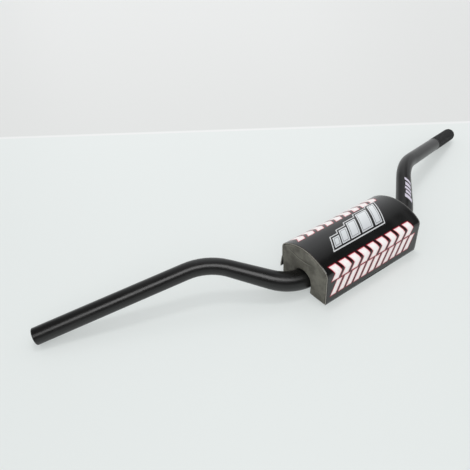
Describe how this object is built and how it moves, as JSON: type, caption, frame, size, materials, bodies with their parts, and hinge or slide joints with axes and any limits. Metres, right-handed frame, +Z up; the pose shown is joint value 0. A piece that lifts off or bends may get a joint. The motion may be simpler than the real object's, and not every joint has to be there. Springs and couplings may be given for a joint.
{
  "type": "motocross handlebar",
  "caption": "Crossbarless tapered motocross handlebar with swept-back hollow grips, its clamp section covered by a domed foam pad in a glossy wrap-around cover.",
  "frame": {"origin": "centre of the clamp section on the tube's axis; the table it lies on is at z = -15.6 mm", "axes": "+X along the clamp section towards the rider's left grip, +Y towards the rider, +Z up from the table"},
  "size_m": [0.8146, 0.1841, 0.0645],
  "materials": {
    "black_anodised": "satin black anodised, knurled on one end",
    "foam": "closed-cell foam, cut, grey-green",
    "coated_fabric": "gloss black coated fabric with a printed pattern in white, red and silver",
    "tape": "black woven hook and loop tape"
  },
  "bodies": {
    "root": {"bar_tube": "black_anodised", "pad_foam": "foam", "pad_cover": "coated_fabric", "loop_strip": "tape", "hook_strip": "tape"}
  },
  "joints": []
}
